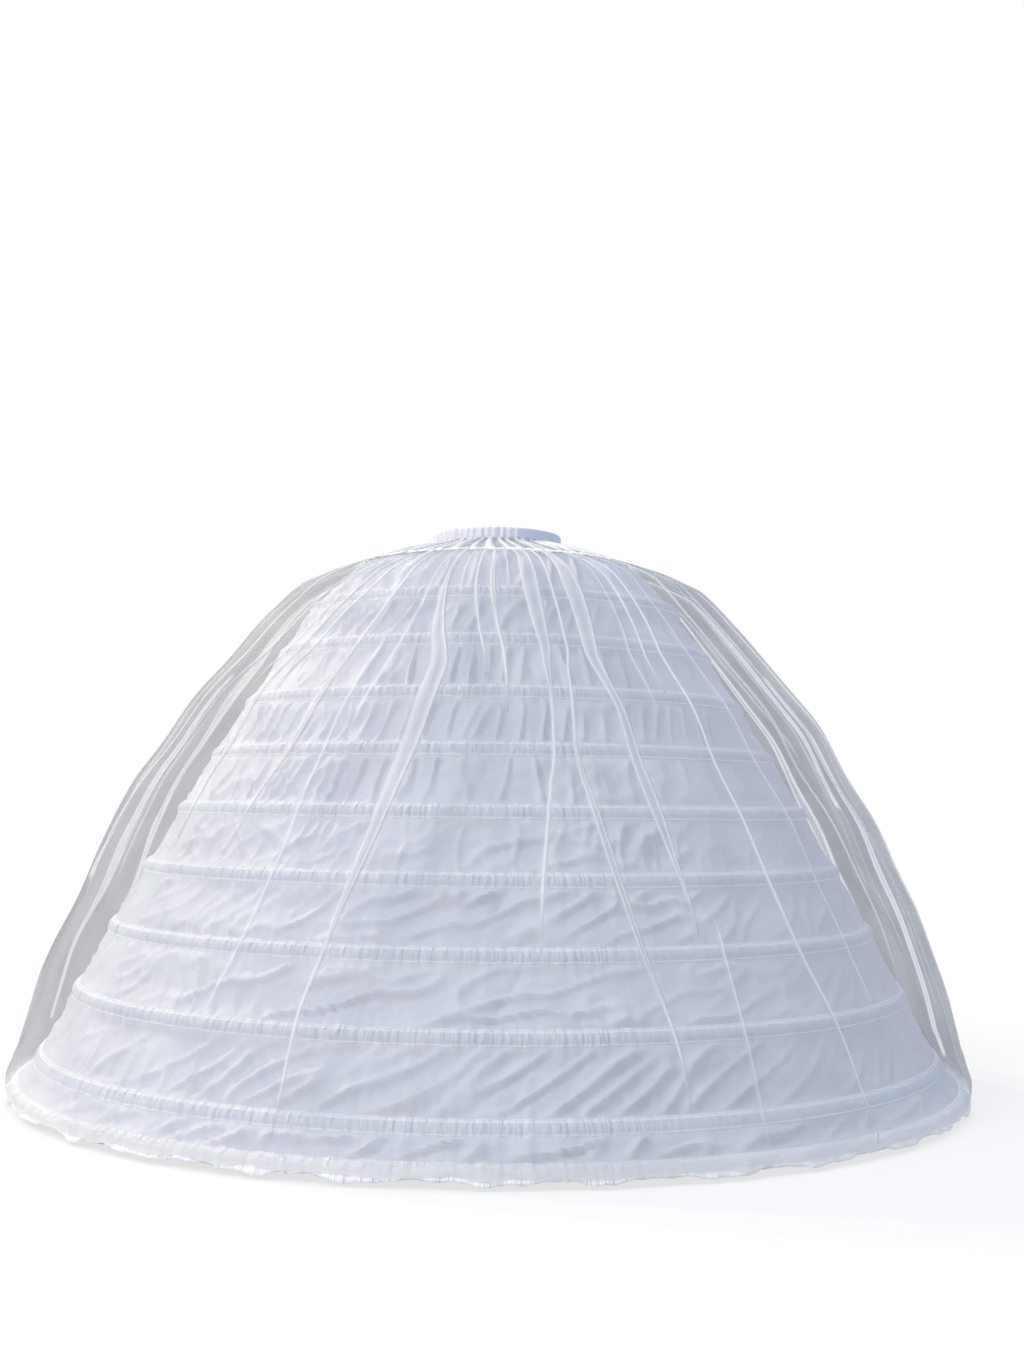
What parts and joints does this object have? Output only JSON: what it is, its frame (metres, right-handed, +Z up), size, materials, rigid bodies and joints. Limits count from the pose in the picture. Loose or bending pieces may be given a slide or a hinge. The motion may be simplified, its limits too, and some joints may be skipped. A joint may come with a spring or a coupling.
{
  "type": "hooped crinoline petticoat with net overlay",
  "caption": "Bell-shaped hooped petticoat: elastic waistband, gathered yoke, taffeta lining with boned casings, sheer net overlay",
  "frame": {"origin": "centre of the waist, level with the top edge of the waistband", "axes": "+Z up along the waist's axis; -Y the skirt's front, +X the wearer's left"},
  "size_m": [1.7157, 1.7158, 1.0051],
  "materials": {
    "band_cloth": "satin",
    "elastic": "matt, ribbed",
    "yoke_cloth": "satin",
    "lining_cloth": "crisp, slight sheen",
    "casing_cloth": "crisp, slight sheen",
    "net": "sheer",
    "boning": "white plastic coat on spring steel",
    "sleeve_metal": "satin"
  },
  "bodies": {
    "root": {"waistband": "band_cloth", "waist_elastic": "elastic", "yoke": "yoke_cloth", "lining_front": "lining_cloth", "lining_back_left": "lining_cloth", "lining_back_right": "lining_cloth", "casing_1": "casing_cloth", "hoop_1": "boning", "hoop_sleeve_1": "sleeve_metal", "casing_2": "casing_cloth", "hoop_2": "boning", "hoop_sleeve_2": "sleeve_metal", "casing_3": "casing_cloth", "hoop_3": "boning", "hoop_sleeve_3": "sleeve_metal", "casing_4": "casing_cloth", "hoop_4": "boning", "hoop_sleeve_4": "sleeve_metal", "casing_5": "casing_cloth", "hoop_5": "boning", "hoop_sleeve_5": "sleeve_metal", "casing_6": "casing_cloth", "hoop_6": "boning", "hoop_sleeve_6": "sleeve_metal", "casing_7": "casing_cloth", "hoop_7": "boning", "hoop_sleeve_7": "sleeve_metal", "casing_8": "casing_cloth", "hoop_8": "boning", "hoop_sleeve_8": "sleeve_metal", "casing_9": "casing_cloth", "hoop_9": "boning", "hoop_sleeve_9": "sleeve_metal", "hem_band": "casing_cloth", "hem_hoop": "boning", "hem_hoop_sleeve": "sleeve_metal", "net_overlay": "net"}
  },
  "joints": []
}
